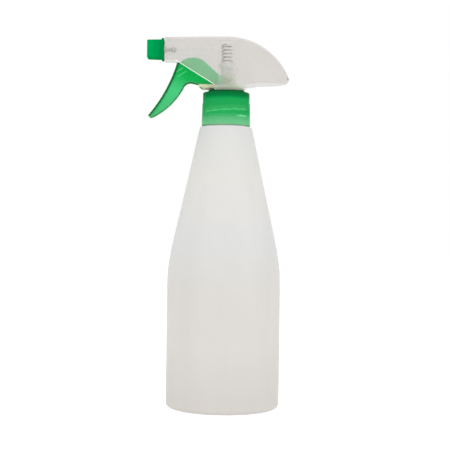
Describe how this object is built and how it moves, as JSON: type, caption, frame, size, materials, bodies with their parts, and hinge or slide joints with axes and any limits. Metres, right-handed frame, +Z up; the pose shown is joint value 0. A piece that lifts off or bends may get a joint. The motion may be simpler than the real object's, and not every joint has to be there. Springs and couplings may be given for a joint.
{
  "type": "trigger spray bottle",
  "caption": "Hand mister: a tall blow-moulded bottle with a screw-on trigger sprayer, its vertical piston pump under a translucent shroud and a square turning nozzle at the front.",
  "frame": {"origin": "centre of the bottle's standing ring, on the surface it stands on", "axes": "+Z up along the bottle and the pump, -X along the spray, towards the nozzle"},
  "size_m": [0.0917, 0.073, 0.2388],
  "materials": {
    "bottle_hdpe": "satin translucent white",
    "cap_green": "satin translucent green",
    "trigger_green": "satin translucent green",
    "nozzle_green": "satin green",
    "shroud_natural": "satin, frosted translucent",
    "pump_cream": "satin cream",
    "tube_natural": "satin translucent",
    "seal_white": "matte",
    "steel": "bright drawn stainless"
  },
  "bodies": {
    "bottle": {"bottle": "bottle_hdpe"},
    "head": {"pump_body": "pump_cream", "shroud": "shroud_natural", "base_insert": "tube_natural", "stem_seal": "seal_white", "neck_gasket": "seal_white", "return_spring": "steel", "swirl_plug": "pump_cream", "nozzle_seal": "seal_white", "outlet_spring": "steel"},
    "cap": {"screw_cap": "cap_green"},
    "trigger": {"trigger": "trigger_green"},
    "piston": {"piston": "tube_natural", "piston_cup": "seal_white", "ball_cage": "pump_cream", "dip_tube": "tube_natural"},
    "inlet_ball": {"inlet_ball": "steel"},
    "outlet_ball": {"outlet_ball": "steel"},
    "nozzle": {"nozzle_cap": "nozzle_green"}
  },
  "joints": [
    {"name": "cap_turn", "type": "hinge", "parent": "head", "child": "cap", "pos_m": [0, 0, 0.191], "axis": [0, 0, 1], "range_deg": [0, 630]},
    {"name": "head_lift", "type": "slide", "parent": "bottle", "child": "head", "axis": [0, 0, 1], "range_m": [0, 0.0074]},
    {"name": "trigger_pull", "type": "hinge", "parent": "head", "child": "trigger", "pos_m": [-0.0175, 0, 0.2128], "axis": [0, -1, 0], "range_deg": [0, 19.5], "stiffness_Nm_per_rad": 0.25, "springref_deg": -17.19},
    {"name": "piston_lift", "type": "slide", "parent": "head", "child": "piston", "axis": [0, 0, 1], "range_m": [0, 0.006], "deforming": ["return_spring"]},
    {"name": "inlet_ball_lift", "type": "slide", "parent": "piston", "child": "inlet_ball", "axis": [0, 0, 1], "range_m": [0, 0.0038]},
    {"name": "outlet_ball_slide", "type": "slide", "parent": "head", "child": "outlet_ball", "axis": [-1, 0, 0], "range_m": [0, 0.0008], "stiffness_N_per_m": 100, "springref_m": -0.001, "deforming": ["outlet_spring"]},
    {"name": "nozzle_turn", "type": "hinge", "parent": "head", "child": "nozzle", "pos_m": [-0.045, 0, 0.2301], "axis": [-1, 0, 0], "continuous": true}
  ],
  "couplings": [
    {"joint": "cap_turn", "follows": "head_lift", "rad_per_m": 1484.3},
    {"joint": "trigger_pull", "follows": "piston_lift", "rad_per_m": 56.6}
  ]
}
